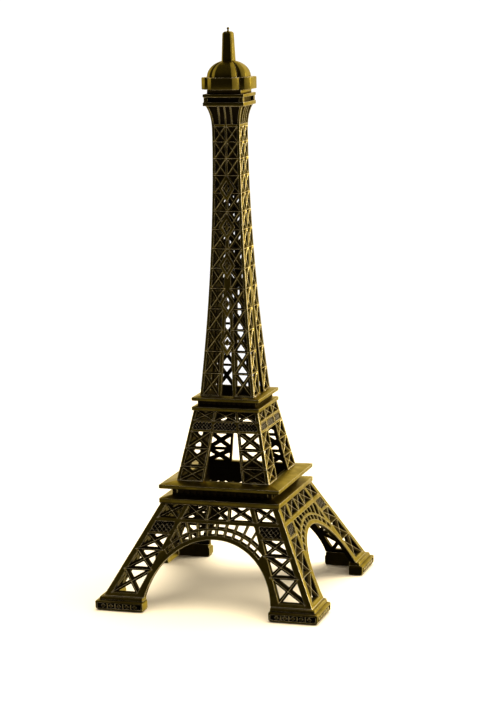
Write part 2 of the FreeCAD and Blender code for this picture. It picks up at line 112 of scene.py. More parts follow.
def rectangle(left, right, low, high):
    corners = [(left, low), (right, low), (right, high), (left, high)]
    return [corner + ("frame",) for corner in corners]


def lozenge(s, z, halfWide, halfHigh):
    corners = [(s, z - halfHigh), (s + halfWide, z), (s, z + halfHigh), (s - halfWide, z)]
    return [corner + ("frame",) for corner in corners]


def bothHalves(outlines):
    return outlines + [mirrored(outline) for outline in outlines]


def bay(left, right, low, high, kinds=("frame", "frame", "frame", "frame")):
    # kinds of the lower, right, upper and left edge
    corners = [(left(low), low), (right(low), low), (right(high), high), (left(high), high)]
    return [corner + (kind,) for corner, kind in zip(corners, kinds)]


def bayKinds(index, count):
    # ridged cross rails between the bays, plain edges below the first and above the last
    below = "frame" if index == 0 else "rail"
    above = "frame" if index == count - 1 else "rail"
    return (below, "frame", above, "frame")


def crossOpenings(quad, bar):
    # the four openings that two diagonal bars leave in a bay
    lowLeft, lowRight, highRight, highLeft = [corner[:2] for corner in quad]
    openings = []
    for first in ((lowLeft, highRight), (highRight, lowLeft)):
        for second in ((lowRight, highLeft), (highLeft, lowRight)):
            opening = clipOutline(quad, first[0], first[1], bar / 2, "bar")
            openings.append(clipOutline(opening, second[0], second[1], bar / 2, "bar"))
    return openings


# mesh openings: closer corners are dropped, and smaller openings are left solid
meshLimits = {"shortestEdge": 0.08, "smallestArea": 0.15}


def withoutStubs(outline):
    # drops corners that are hardly apart from the next one
    kept = []
    for here, there in zip(outline, outline[1:] + outline[:1]):
        if math.dist(here[:2], there[:2]) > meshLimits["shortestEdge"]:
            kept.append(here)
    return kept


def lanes(outline, slope, pitch, bar):
    rises = [corner[1] - slope * corner[0] for corner in outline]
    strips = []
    for i in range(math.floor(min(rises) / pitch), math.ceil(max(rises) / pitch)):
        low, high = i * pitch, (i + 1) * pitch
        strip = clipOutline(outline, (0, low), (1, low + slope), bar / 2, "bar")
        strip = clipOutline(strip, (1, high + slope), (0, high), bar / 2, "bar")
        if len(strip) > 2:
            strips.append(strip)
    return strips


def meshOpenings(quad, pitch, bar):
    openings = []
    for strip in lanes(quad, 1, pitch, bar):
        openings += lanes(strip, -1, pitch, bar)
    openings = [withoutStubs(opening) for opening in openings]
    smallest = meshLimits["smallestArea"]
    return [opening for opening in openings if len(opening) > 2 and areaOf(opening) > smallest]


def grown(outline, growth):
    # every edge moved outwards by the growth of its kind
    lines = []
    for here, there in zip(outline, outline[1:] + outline[:1]):
        run = math.dist(here[:2], there[:2])
        normalS, normalZ = (there[1] - here[1]) / run, (here[0] - there[0]) / run
        lines.append((normalS, normalZ, normalS * here[0] + normalZ * here[1] + growth[here[2]]))
    corners = []
    for first, second in zip(lines[-1:] + lines[:-1], lines):
        spread = first[0] * second[1] - first[1] * second[0]
        s = (first[2] * second[1] - second[2] * first[1]) / spread
        z = (first[0] * second[2] - second[0] * first[2]) / spread
        corners.append((s, z))
    return corners


cornerShare = 0.35   # the most of an edge that one rounded corner takes


def rounded(corners, radius):
    # each corner becomes three points of a small curve
    soft = []
    for before, corner, after in zip(corners[-1:] + corners[:-1], corners, corners[1:] + corners[:1]):
        before, corner, after = Vector(before), Vector(corner), Vector(after)
        cut = min(radius, cornerShare * (before - corner).length, cornerShare * (after - corner).length)
        start = corner + (before - corner).normalized() * cut
        end = corner + (after - corner).normalized() * cut
        soft += [start, (start + end) / 4 + corner / 2, end]
    return [tuple(point) for point in soft]


# solids

def evenly(start, end, count):
    return [start + (end - start) * i / count for i in range(count + 1)]


def linked(name, mesh):
    piece = bpy.data.objects.new(name, mesh)
    bpy.context.scene.collection.objects.link(piece)
    return piece


def newPiece(name, verts, faces):
    mesh = bpy.data.meshes.new(name)
    mesh.from_pydata(verts, [], faces)
    return linked(name, mesh)


def fixNormals(mesh):
    work = bmesh.new()
    work.from_mesh(mesh)
    bmesh.ops.recalc_face_normals(work, faces=work.faces)
    work.to_mesh(mesh)
    work.free()


def loopSolid(name, loops, closed=False):
    # a skin over loops of equally many points, capped at both ends or closed into a ring
    count = len(loops[0])
    verts = [point for loop in loops for point in loop]
    faces = []
    last = len(loops) if closed else len(loops) - 1
    for i in range(last):
        here, there = i * count, (i + 1) % len(loops) * count
        for j in range(count):
            k = (j + 1) % count
            faces.append((here + j, here + k, there + k, there + j))
    if not closed:
        faces.append(tuple(reversed(range(count))))
        faces.append(tuple(range((len(loops) - 1) * count, len(loops) * count)))
    piece = newPiece(name, verts, faces)
    fixNormals(piece.data)
    return piece


def applyModifiers(piece):
    bpy.context.view_layer.update()
    whole = piece.evaluated_get(bpy.context.evaluated_depsgraph_get())
    result = bpy.data.meshes.new_from_object(whole)
    piece.modifiers.clear()
    piece.data = result


def carve(piece, tools, operation="DIFFERENCE"):
    shelf = bpy.data.collections.new("tools")
    bpy.context.scene.collection.children.link(shelf)
    for tool in tools:
        bpy.context.scene.collection.objects.unlink(tool)
        shelf.objects.link(tool)
    step = piece.modifiers.new("carve", "BOOLEAN")
    step.operation = operation
    step.operand_type = "COLLECTION"
    step.collection = shelf
    step.solver = "MANIFOLD"
    applyModifiers(piece)
    for tool in tools:
        bpy.data.objects.remove(tool)
    bpy.data.collections.remove(shelf)


def profileSolid(outline, rows, radius, face=0.0):
    # rows: depth behind the face, and how far the outline has grown there
    loops = []
    for depth, edge in rows:
        corners = grown(outline, {"frame": edge})
        if radius:
            corners = rounded(corners, radius)
        loops.append([(s, depth - face, z) for s, z in corners])
    return loopSolid("tool", loops)


def openingTools(outlines, profile, radius):
    # profile rows: depth into the casting, and how far each kind of edge has opened there
    tools = []
    for outline in outlines:
        loops = []
        for depth, growth in profile:
            corners = rounded(grown(outline, growth), radius)
            loops.append([(s, depth, z) for s, z in corners])
        tools.append(loopSolid("tool", loops))
    return tools


# face castings are carved flat, with y as the depth behind the face, then bent to the tower's outline

# rounding of a casting's long corner edges, and the angle past which an edge stays sharp
castEdge = {"tip": 0.13, "round": 0.26, "lip": 0.06, "slant": 0.01}
sharpAngle = math.radians(28)


def slabLoops(levels, halfAt, thick):
    tip, soft, lip, slant = [castEdge[k] for k in ("tip", "round", "lip", "slant")]
    loops = []
    for z in levels:
        out = halfAt(z)
        right = [(out - soft, 0.0), (out - tip + slant, lip), (out - tip, tip), (out - thick, thick)]
        left = [(-s, depth) for s, depth in reversed(right)]
        loops.append([(s, depth, z) for s, depth in left + right])
    return loops


def writeRecess(mesh, depths):
    # how deep each point lies behind the face, in millimetres, for the metal's darkening: patina and painted
    # shade in the depths
    recess = mesh.attributes.new("recess", "FLOAT", "POINT")
    recess.data.foreach_set("value", depths)


def standUp(piece, name, halfAt, quarter):
    # bends a flat casting to the outline, turns it to its side of the tower and remembers the depths
    mesh = piece.data.copy()
    mesh.name = name
    depths = [v.co.y for v in mesh.vertices]
    for v in mesh.vertices:
        v.co.y -= halfAt(v.co.z)
    mesh.transform(Matrix.Rotation(quarter * math.pi / 2, 4, "Z"))
    mesh.transform(Matrix.Scale(mm, 4))
    writeRecess(mesh, depths)
    return linked(name, mesh)


def finishPiece(piece, node, slot="antique_brass"):
    mesh = piece.data
    mesh.materials.clear()
    mesh.materials.append(metals[slot])
    for polygon in mesh.polygons:
        polygon.use_smooth = True
    mesh.set_sharp_from_angle(angle=sharpAngle)
    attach(piece, "root")
    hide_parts(node)


def castSides(panel, storey, halfAt, quarters=range(4)):
    for quarter in quarters:
        name = sideNames[quarter]
        casting = standUp(panel, storey + "Panel_" + name, halfAt, quarter)
        finishPiece(casting, storey + "_panel_" + name)


def setRecess(piece, depthAt):
    writeRecess(piece.data, [depthAt(v.co) for v in piece.data.vertices])
    piece.data.transform(Matrix.Scale(mm, 4))


def finishPlain(piece, node):
    # a piece with no sunk faces
    setRecess(piece, lambda p: 0.0)
    finishPiece(piece, node)


def turnedCopy(piece, name, quarter):
    mesh = piece.data.copy()
    mesh.name = name
    mesh.transform(Matrix.Rotation(quarter * math.pi / 2, 4, "Z"))
    return linked(name, mesh)


# finish of the metal

def group(name, inputs, *outputs):
    # inputs are numbers or colours with their usual values; an output is a number unless it is Color
    tree = bpy.data.node_groups.new(name, "ShaderNodeTree")
    for label, value in inputs.items():
        kind = "NodeSocketColor" if isinstance(value, tuple) else "NodeSocketFloat"
        socket = tree.interface.new_socket(label, in_out="INPUT", socket_type=kind)
        socket.default_value = value
    for label in outputs:
        kind = "NodeSocketColor" if label == "Color" else "NodeSocketFloat"
        tree.interface.new_socket(label, in_out="OUTPUT", socket_type=kind)
    return tree, tree.nodes.new("NodeGroupInput"), tree.nodes.new("NodeGroupOutput")


def mathNode(tree, operation, first, second, clamp=False):
    node = tree.nodes.new("ShaderNodeMath")
    node.operation = operation
    node.use_clamp = clamp
    for socket, value in zip(node.inputs, (first, second)):
        if isinstance(value, (int, float)):
            socket.default_value = value
        else:
            tree.links.new(value, socket)
    return node.outputs[0]


def ramp(tree, value, low, high):
    # smooth step from low to high
    node = tree.nodes.new("ShaderNodeMapRange")
    node.interpolation_type = "SMOOTHSTEP"
    tree.links.new(value, node.inputs["Value"])
    for label, edge in (("From Min", low), ("From Max", high)):
        if isinstance(edge, (int, float)):
            node.inputs[label].default_value = edge
        else:
            tree.links.new(edge, node.inputs[label])
    return node.outputs["Result"]


def mixColour(tree, factor, first, second):
    node = tree.nodes.new("ShaderNodeMix")
    node.data_type = "RGBA"
    for socket, value in ((node.inputs[0], factor), (node.inputs[6], first), (node.inputs[7], second)):
        if isinstance(value, tuple):
            socket.default_value = value
        else:
            tree.links.new(value, socket)
    return node.outputs[2]


maskSamples = 6
grainShape = {"pitDetail": 3.0, "stainDetail": 4.0, "stainFrom": 0.35, "stainFull": 0.68}
patinaAndLightMix = {
    "stainTone": 0.35, "hollowFrom": 0.3, "hollowFull": 0.9,   # stained faces, and where hollows blacken, as patina and as painted shade
    "roughness": 0.31, "polish": 0.08, "patinaShadeMatt": 0.3, "stainMatt": 0.1,
    "edgeShine": 0.45,   # how much less metallic a rubbed edge is, which also lets the painted highlight on the edges show
}


def makeEdgeWearAndHighlight():
    # mask of outer edges, where a rounded normal would differ from the real one; it paints them gold, as wear
    # and as a painted highlight
    tree, given, result = group("edgeWearAndHighlight", {"Width": 0.0004, "Gain": 6.0}, "Mask")
    soft = tree.nodes.new("ShaderNodeBevel")
    soft.samples = maskSamples
    tree.links.new(given.outputs["Width"], soft.inputs["Radius"])
    real = tree.nodes.new("ShaderNodeNewGeometry")
    dot = tree.nodes.new("ShaderNodeVectorMath")
    dot.operation = "DOT_PRODUCT"
    tree.links.new(soft.outputs["Normal"], dot.inputs[0])
    tree.links.new(real.outputs["Normal"], dot.inputs[1])
    away = mathNode(tree, "SUBTRACT", 1.0, dot.outputs["Value"])
    tree.links.new(mathNode(tree, "MULTIPLY", away, given.outputs["Gain"], True), result.inputs["Mask"])
    return tree


def makeCavity():
    # mask of hollows, from how much of the sky each point sees close by; it darkens them, as patina and as
    # painted shade
    tree, given, result = group("cavity", {"Reach": 0.0012}, "Mask")
    sky = tree.nodes.new("ShaderNodeAmbientOcclusion")
    sky.samples = maskSamples
    tree.links.new(given.outputs["Reach"], sky.inputs["Distance"])
    tree.links.new(mathNode(tree, "SUBTRACT", 1.0, sky.outputs["AO"], True), result.inputs["Mask"])
    return tree


def makeCastGrain():
    # fine pitted grain of a zinc casting, with a slow mottle under it
    tree, given, result = group("castGrain", {"Pits": 2600.0, "Mottle": 260.0}, "Height", "Stain")
    place = tree.nodes.new("ShaderNodeTexCoord")
    pits = tree.nodes.new("ShaderNodeTexNoise")
    tree.links.new(place.outputs["Object"], pits.inputs["Vector"])
    tree.links.new(given.outputs["Pits"], pits.inputs["Scale"])
    pits.inputs["Detail"].default_value = grainShape["pitDetail"]
    stain = tree.nodes.new("ShaderNodeTexNoise")
    tree.links.new(place.outputs["Object"], stain.inputs["Vector"])
    tree.links.new(given.outputs["Mottle"], stain.inputs["Scale"])
    stain.inputs["Detail"].default_value = grainShape["stainDetail"]
    tree.links.new(pits.outputs["Fac"], result.inputs["Height"])
    patches = ramp(tree, stain.outputs["Fac"], grainShape["stainFrom"], grainShape["stainFull"])
    tree.links.new(patches, result.inputs["Stain"])
    return tree


def makePatinaAndPaintedLight():
    # darkening in the depths and hollows, as patina and as painted shade; olive on the faces; gold on what
    # stands proud, as rubbed wear and as a painted highlight
    inputs = {
        "Dark": (0.02, 0.015, 0.006, 1), "Olive": (0.2, 0.15, 0.04, 1), "Gold": (0.7, 0.5, 0.18, 1),
        "Recess": 0.0, "Clean Depth": 0.4, "Black Depth": 1.1, "Edge": 0.0, "Hollow": 0.0, "Stain": 0.5,
    }
    tree, given, result = group("patinaAndPaintedLight", inputs, "Color", "Roughness", "Metallic")
    get, mix = given.outputs, patinaAndLightMix
    sunk = ramp(tree, get["Recess"], get["Clean Depth"], get["Black Depth"])
    stained = mathNode(tree, "MULTIPLY", get["Stain"], mix["stainTone"])
    deeper = mathNode(tree, "MULTIPLY", stained, get["Hollow"])
    hollow = mathNode(tree, "ADD", get["Hollow"], deeper)
    hollowPatinaAndShade = ramp(tree, hollow, mix["hollowFrom"], mix["hollowFull"])
    patinaAndShade = mathNode(tree, "MAXIMUM", sunk, hollowPatinaAndShade, True)
    wearAndHighlight = mathNode(tree, "MULTIPLY", get["Edge"], mathNode(tree, "SUBTRACT", 1.0, patinaAndShade))
    face = mixColour(tree, stained, get["Olive"], get["Dark"])
    tone = mixColour(tree, wearAndHighlight, face, get["Gold"])
    tree.links.new(mixColour(tree, patinaAndShade, tone, get["Dark"]), result.inputs["Color"])
    polish = mathNode(tree, "MULTIPLY", wearAndHighlight, mix["polish"])
    dull = mathNode(tree, "MULTIPLY", patinaAndShade, mix["patinaShadeMatt"])
    matt = mathNode(tree, "ADD", mathNode(tree, "SUBTRACT", mix["roughness"], polish), dull)
    patchy = mathNode(tree, "MULTIPLY", get["Stain"], mix["stainMatt"])
    tree.links.new(mathNode(tree, "ADD", matt, patchy), result.inputs["Roughness"])
    lost = mathNode(tree, "MULTIPLY", wearAndHighlight, mix["edgeShine"])
    tree.links.new(mathNode(tree, "SUBTRACT", 1.0, lost), result.inputs["Metallic"])
    return tree


shared = {
    "edgeWearAndHighlight": makeEdgeWearAndHighlight(),
    "cavity": makeCavity(),
    "castGrain": makeCastGrain(),
    "patinaAndPaintedLight": makePatinaAndPaintedLight(),
}


def placeGroup(tree, name, **values):
    node = tree.nodes.new("ShaderNodeGroup")
    node.node_tree = shared[name]
    for label, value in values.items():
        node.inputs[label.replace("_", " ")].default_value = value
    return node


def castMetal(name, look):
    material = bpy.data.materials.new(name)
    material.use_nodes = True
    tree = material.node_tree
    shader = tree.nodes["Principled BSDF"]
    shader.inputs["Specular Tint"].default_value = look["glanceTint"]
    recess = tree.nodes.new("ShaderNodeAttribute")
    recess.attribute_name = "recess"
    edge = placeGroup(tree, "edgeWearAndHighlight", Width=look["edgeWidth"], Gain=look["edgeGain"])
    hollow = placeGroup(tree, "cavity", Reach=look["hollowReach"])
    grain = placeGroup(tree, "castGrain", Pits=look["pits"], Mottle=look["mottle"])
    patinaAndPaintedLight = placeGroup(tree, "patinaAndPaintedLight", Dark=look["dark"], Olive=look["olive"], Gold=look["gold"],
                        Clean_Depth=look["cleanDepth"], Black_Depth=look["blackDepth"])
    tree.links.new(recess.outputs["Fac"], patinaAndPaintedLight.inputs["Recess"])
    tree.links.new(edge.outputs["Mask"], patinaAndPaintedLight.inputs["Edge"])
    tree.links.new(hollow.outputs["Mask"], patinaAndPaintedLight.inputs["Hollow"])
    tree.links.new(grain.outputs["Stain"], patinaAndPaintedLight.inputs["Stain"])
    # the base colour carries patina, wear, painted shade in the depths and painted highlights on the edges
    tree.links.new(patinaAndPaintedLight.outputs["Color"], shader.inputs["Base Color"])
    tree.links.new(patinaAndPaintedLight.outputs["Roughness"], shader.inputs["Roughness"])
    tree.links.new(patinaAndPaintedLight.outputs["Metallic"], shader.inputs["Metallic"])
    bump = tree.nodes.new("ShaderNodeBump")
    bump.inputs["Strength"].default_value = look["grainStrength"]
    bump.inputs["Distance"].default_value = look["grainHeight"]
    tree.links.new(grain.outputs["Height"], bump.inputs["Height"])
    tree.links.new(bump.outputs["Normal"], shader.inputs["Normal"])
    return material


# dark is the colour of patina and of painted shade in the depths and hollows; gold is the colour of wear and
# of a painted highlight on edges
brassLook = {
    "dark": (0.03, 0.02, 0.007, 1), "olive": (0.17, 0.118, 0.013, 1), "gold": (0.90, 0.77, 0.50, 1),
    "glanceTint": (1.0, 0.85, 0.5, 1), "cleanDepth": 0.22, "blackDepth": 0.5,
    "edgeWidth": 0.00014, "edgeGain": 8.0, "hollowReach": 0.0010,
    "pits": 2600.0, "mottle": 240.0, "grainStrength": 0.35, "grainHeight": 0.0001,
}
# near-black colours for the gallery walls: painted shade under the decks
galleryShadeLook = dict(brassLook, olive=(0.03, 0.022, 0.008, 1), gold=(0.12, 0.09, 0.03, 1))
screwLook = dict(brassLook, olive=(0.35, 0.27, 0.10, 1), grainStrength=0.1)
screwBrass = castMetal("screwBrass", screwLook)
metals = {
    "antique_brass": castMetal("antiqueBrass", brassLook),
    "blackened_brass": castMetal("galleryShadeBrass", galleryShadeLook),
}
print("metals ready")


# lower storey

archDims = {
    "thick": 2.0, "outerStile": 2.2, "innerStile": 1.7, "legWidth": 10.7, "legTaper": 0.085,
    "legBar": 1.25, "friezeBar": 1.05, "rail": 0.95, "wire": 0.4, "meshPitch": 1.5, "meshDepth": 0.8,
    "radius": 20.8, "centreZ": 1.0, "ringOuter": 22.2, "ladderOuter": 23.5, "crownOuter": 24.3,
    "windows": 12, "pitch": math.radians(7.25), "tie": 0.75, "windowRadius": 22.8, "spandrelRadius": 25.5,
    "leastSpandrel": 0.45, "spandrelEnd": 0.12, "arcSteps": 96, "levels": 6,
    "beamLow": 26.25, "bays": [(5.5, 11.8), (12.75, 17.6), (18.55, 22.55)],
    "mesh": (23.3, 26.25), "frieze": (27.45, 31.3), "uprights": 3.6, "uprightHalf": 0.4, "uprightLean": 0.08,
    "ridgeDepth": 0.26, "fullDepth": 0.9, "chamfer": 0.16, "corner": 0.28,
}


# depths and growths of an opening's edges, shared by all the castings
openingShape = {
    "proud": 0.12, "lip": 0.1, "spare": 0.01, "chamferDepth": 0.22, "past": 0.1, "floorTaper": 0.12,
}


def openingProfile(dims, bar, rail=0.0, blind=None):
    # bars and rails rise to a ridge between two openings; frame edges only get a small chamfer
    shape, ridge, full = openingShape, dims["ridgeDepth"], dims["fullDepth"]
    floor = blind or dims["thick"] + shape["past"]
    rows = []
    for depth in (-shape["proud"], 0.0, shape["lip"], ridge, full, floor):
        spread = max(0.0, (full - depth) / (full - ridge))
        growth = {
            "bar": spread * (bar / 2 + shape["spare"]),
            "rail": min(1.0, spread) * rail / 2,
            "frame": dims["chamfer"] * max(0.0, 1 - depth / shape["chamferDepth"]),
        }
        if blind and depth == floor:
            growth = {kind: -shape["floorTaper"] for kind in growth}
        rows.append((depth, growth))
    return rows


def bayTools(dims, inner, outer, bar):
    # the crossed bays up both legs of a casting
    tools = []
    for i, (low, high) in enumerate(dims["bays"]):
        kinds = bayKinds(i, len(dims["bays"]))
        openings = bothHalves(crossOpenings(bay(inner, outer, low, high, kinds), bar))
        tools += openingTools(openings, openingProfile(dims, bar, dims["rail"]), dims["corner"])
    return tools


archLow = boxOf("arch_panel_front")[1].x
archHigh = archDims["thick"] - boxOf("arch_panel_front")[1].y
archLean = (archLow - archHigh) / (archTop - footTop)


def archHalf(z):
    return archLow - archLean * (z - footTop)


def legOuter(z):
    return archHalf(z) - archDims["outerStile"]


def legInner(z):
    return archHalf(z) - archDims["legWidth"] + archDims["legTaper"] * z


def stileInner(z):
    return legInner(z) - archDims["innerStile"]


def upright(z):
    return archDims["uprights"] - archDims["uprightLean"] * (z - archDims["frieze"][0])


def polarOpening(start, end, inner, outer, profile, steps):
    # opening between two curves given as radius(angle, growth), for angles from straight up
    loops = []
    for depth, growth in profile:
        edge = growth["frame"]
        turn = edge / inner(0.5 * (start + end), 0.0)
        angles = [start - turn + (end - start + 2 * turn) * i / steps for i in range(steps + 1)]
        low = [(inner(a, edge) * math.sin(a), inner(a, edge) * math.cos(a)) for a in angles]
        high = [(outer(a, edge) * math.sin(a), outer(a, edge) * math.cos(a)) for a in reversed(angles)]
        loops.append([(s, depth, archDims["centreZ"] + z) for s, z in low + high])
    return loopSolid("tool", loops)


def archRingTools(profile):
    d = archDims
    tools = []
    slope = (stileInner(0.0) - stileInner(10.0)) / 10
    reach = stileInner(d["centreZ"])

    def toRing(angle, edge):
        return d["crownOuter"] - edge

    def toFrame(angle, edge):
        toBeam = (d["beamLow"] - d["centreZ"] + edge) / math.cos(angle)
        toStile = (reach + edge) / (math.sin(abs(angle)) + slope * math.cos(angle))
        return min(toBeam, toStile)

    for i in range(d["windows"]):
        middle = (i - (d["windows"] - 1) / 2) * d["pitch"]
        half = d["pitch"] / 2 - d["tie"] / 2 / d["windowRadius"]
        tools.append(polarOpening(middle - half, middle + half, lambda a, e: d["ringOuter"] - e,
                                  lambda a, e: d["ladderOuter"] + e, profile, 3))
        # a spandrel opening above each window, cut short where the frame closes in on the ring
        half = d["pitch"] / 2 - d["tie"] / 2 / d["spandrelRadius"]
        if toFrame(middle, 0.0) - d["crownOuter"] > d["leastSpandrel"]:
            outerEnd = math.copysign(half, middle)
            while toFrame(middle + outerEnd, 0.0) - d["crownOuter"] < d["spandrelEnd"]:
                outerEnd *= 0.9
            start, end = sorted((middle - math.copysign(half, middle), middle + outerEnd))
            tools.append(polarOpening(start, end, toRing, toFrame, profile, 6))
    return tools


def arcTool(radius, centreZ, thick, chamfer):
    # the great opening under the arch, with a small chamfer front and back
    loops = []
    steps = archDims["arcSteps"]
    rows = [(-0.5, chamfer * 3), (0.0, chamfer), (chamfer * 1.5, 0.0), (thick - chamfer, 0.0),
            (thick + 0.3, chamfer * 1.3)]
    for depth, extra in rows:
        angles = [math.pi * (i / steps) for i in range(steps + 1)]
        arc = [((radius + extra) * math.cos(a), centreZ + (radius + extra) * math.sin(a)) for a in angles]
        arc += [(-(radius + extra), -5.0), (radius + extra, -5.0)]
        loops.append([(s, depth, z) for s, z in arc])
    return loopSolid("tool", loops)


def makeArchPanels():
    d = archDims
    panel = loopSolid("archFlat", slabLoops(evenly(footTop, archTop, d["levels"]), archHalf, d["thick"]))
    tools = bayTools(d, legInner, legOuter, d["legBar"])
    half = d["uprightHalf"]
    openings = bothHalves(crossOpenings(bay(legInner, legOuter, *d["frieze"]), d["friezeBar"]))
    side = bay(lambda z: upright(z) + half, stileInner, *d["frieze"])
    openings += bothHalves(crossOpenings(side, d["friezeBar"]))
    middle = bay(lambda z: half - upright(z), lambda z: upright(z) - half, *d["frieze"])
    openings += crossOpenings(middle, d["friezeBar"])
    profile = openingProfile(d, d["friezeBar"])
    tools += openingTools(openings, profile, d["corner"])
    mesh = bothHalves(meshOpenings(bay(legInner, legOuter, *d["mesh"]), d["meshPitch"], d["wire"]))
    tools += openingTools(mesh, openingProfile(d, d["wire"], blind=d["meshDepth"]), 0.1)
    tools += archRingTools(profile)
    tools.append(arcTool(d["radius"], d["centreZ"], d["thick"], d["chamfer"]))
    carve(panel, tools)
    castSides(panel, "arch", archHalf)
    bpy.data.objects.remove(panel)


makeArchPanels()
print("lower storey ready")


# middle storey

midDims = {
    "thick": 1.3, "stile": 1.2, "innerStile": 0.75, "bar": 1.5, "friezeBar": 0.9, "rail": 1.0,
    "wire": 0.32, "meshPitch": 1.1, "meshDepth": 0.6,
    "gapLow": 6.2, "gapLean": 0.147, "gapFrom": 39.0, "bays": [(38.45, 42.1), (43.1, 47.8), (48.8, 53.5)],
    "mesh": (54.35, 56.6), "frieze": (57.15, 59.95),
    "ridgeDepth": 0.25, "fullDepth": 0.7, "chamfer": 0.12, "corner": 0.2, "levels": 5,
}
midLow = boxOf("mid_panel_front")[1].x
midHigh = midDims["thick"] - boxOf("mid_panel_front")[1].y
midLean = (midLow - midHigh) / (midTop - firstDeckTop)


def midHalf(z):
    return midLow - midLean * (z - firstDeckTop)


def midOuter(z):
    return midHalf(z) - midDims["stile"]


def gapEdge(z):
    return midDims["gapLow"] - midDims["gapLean"] * (z - midDims["gapFrom"])


def midInner(z):
    return gapEdge(z) + midDims["innerStile"]


def makeMidPanels():
    d = midDims
    panel = loopSolid("midFlat", slabLoops(evenly(firstDeckTop, midTop, d["levels"]), midHalf, d["thick"]))
    centre = [lambda z: -gapEdge(z), gapEdge]
    gap = bay(*centre, firstDeckTop - 1.0, d["bays"][-1][1])
    tools = openingTools([gap], openingProfile(d, d["bar"]), d["corner"])
    tools += bayTools(d, midInner, midOuter, d["bar"])
    openings = bothHalves(crossOpenings(bay(midInner, midOuter, *d["frieze"]), d["friezeBar"]))
    openings += crossOpenings(bay(*centre, *d["frieze"]), d["friezeBar"])
    tools += openingTools(openings, openingProfile(d, d["friezeBar"]), d["corner"])
    mesh = bothHalves(meshOpenings(bay(midInner, midOuter, *d["mesh"]), d["meshPitch"], d["wire"]))
    mesh += meshOpenings(bay(*centre, *d["mesh"]), d["meshPitch"], d["wire"])
    tools += openingTools(mesh, openingProfile(d, d["wire"], blind=d["meshDepth"]), 0.08)
    carve(panel, tools)
    castSides(panel, "mid", midHalf)
    bpy.data.objects.remove(panel)


makeMidPanels()
print("middle storey ready")


# shaft

shaftDims = {
    "thick": 1.1, "stile": 1.0, "bar": 1.2, "rail": 0.75, "blindBays": 4, "blindDepth": 0.7,
    "waist": 4.55, "waistZ": 146.0, "waistPower": 1.87, "flare": 1.45, "flarePower": 3.3,
    "bays": 14, "firstBay": 7.15, "bayShrink": 0.165,
    "gapLow": 2.0, "gapClose": 0.0515, "gapStile": 1.05, "gapTip": 0.3, "centreHalf": 0.4,
    "fluteLow": 150.2, "fluteTop": 0.15, "fluteDepth": 0.6, "fluteRib": 0.55, "fluteSpacing": 2.0,
    "fluteMargin": 0.8, "fluteRows": 8, "levels": 26, "flareLevels": 14,
    "ridgeDepth": 0.22, "fullDepth": 0.6, "chamfer": 0.1, "corner": 0.18,
}
shaftLow = boxOf("shaft_panel_front")[1].x


def shaftHalf(z):
    d = shaftDims
    if z < d["waistZ"]:
        below = min(1.0, (d["waistZ"] - z) / (d["waistZ"] - secondDeckTop))
        return d["waist"] + (shaftLow - d["waist"]) * below ** d["waistPower"]
    return d["waist"] + d["flare"] * ((z - d["waistZ"]) / (shaftTop - d["waistZ"])) ** d["flarePower"]


def shaftOuter(z):
    return shaftHalf(z) - shaftDims["stile"]


def shaftInner(z):
    d = shaftDims
    return max(d["centreHalf"], d["gapLow"] + d["gapStile"] - d["gapClose"] * (z - secondDeckTop))


def fluteTools():
    d = shaftDims
    ribs = [-d["fluteSpacing"], 0.0, d["fluteSpacing"]]
    tools = []
    heights = evenly(d["fluteLow"], shaftTop - d["fluteTop"], d["fluteRows"])
    deep = d["fluteDepth"]
    sections = [(-0.3, 0.1), (0.0, 0.1), (0.15, 0.0), (deep - 0.15, -0.03), (deep, -0.2)]

    def side(z):
        return shaftHalf(z) - d["fluteMargin"]

    lefts = [lambda z: -side(z)] + [lambda z, s=s: s + d["fluteRib"] / 2 for s in ribs]
    rights = [lambda z, s=s: s - d["fluteRib"] / 2 for s in ribs] + [side]
    for left, right in zip(lefts, rights):
        loops = []
        for depth, edge in sections:
            up = [(right(z) + edge, z) for z in heights]
            down = [(left(z) - edge, z) for z in reversed(heights)]
            loops.append([(s, depth, z) for s, z in up + down])
        tools.append(loopSolid("tool", loops))
    return tools


ornament = {
    "count": 5, "highZ": 130.2, "pitch": 12.1, "halfHigh": 4.2, "halfWide": 2.6, "stroke": 0.95,
    "relief": 0.45, "barRelief": 0.1, "barHalf": 0.22, "barReach": 0.2, "sink": 0.35, "soften": 0.12,
}


def raisedOutline(outline, relief, edge):
    rows = [(ornament["sink"], 0.0), (0.08 - relief, 0.0), (-relief, -edge)]
    return profileSolid(outline, rows, ornament["soften"])


def raisedLozenge(z):
    # a lozenge frame with a small lozenge in the middle, held by two short bars
    o = ornament
    relief = o["relief"]
    frameSolid = raisedOutline(lozenge(0.0, z, o["halfWide"], o["halfHigh"]), relief, 0.14)
    ratio = o["halfHigh"] / o["halfWide"]
    innerWide = o["halfWide"] - o["stroke"] * math.hypot(1, ratio) / ratio
    rows = [(-1.5, 0.1), (-relief, 0.1), (0.1 - relief, 0.0), (1.0, 0.0)]
    carve(frameSolid, [profileSolid(lozenge(0.0, z, innerWide, innerWide * ratio), rows, o["soften"])])
    heart = raisedOutline(lozenge(0.0, z, innerWide * 0.5, innerWide * ratio * 0.5), relief, 0.12)
    reach = o["barReach"]
    bar = rectangle(-innerWide - reach, innerWide + reach, z - o["barHalf"], z + o["barHalf"])
    return [frameSolid, heart, raisedOutline(bar, o["barRelief"], 0.06)]


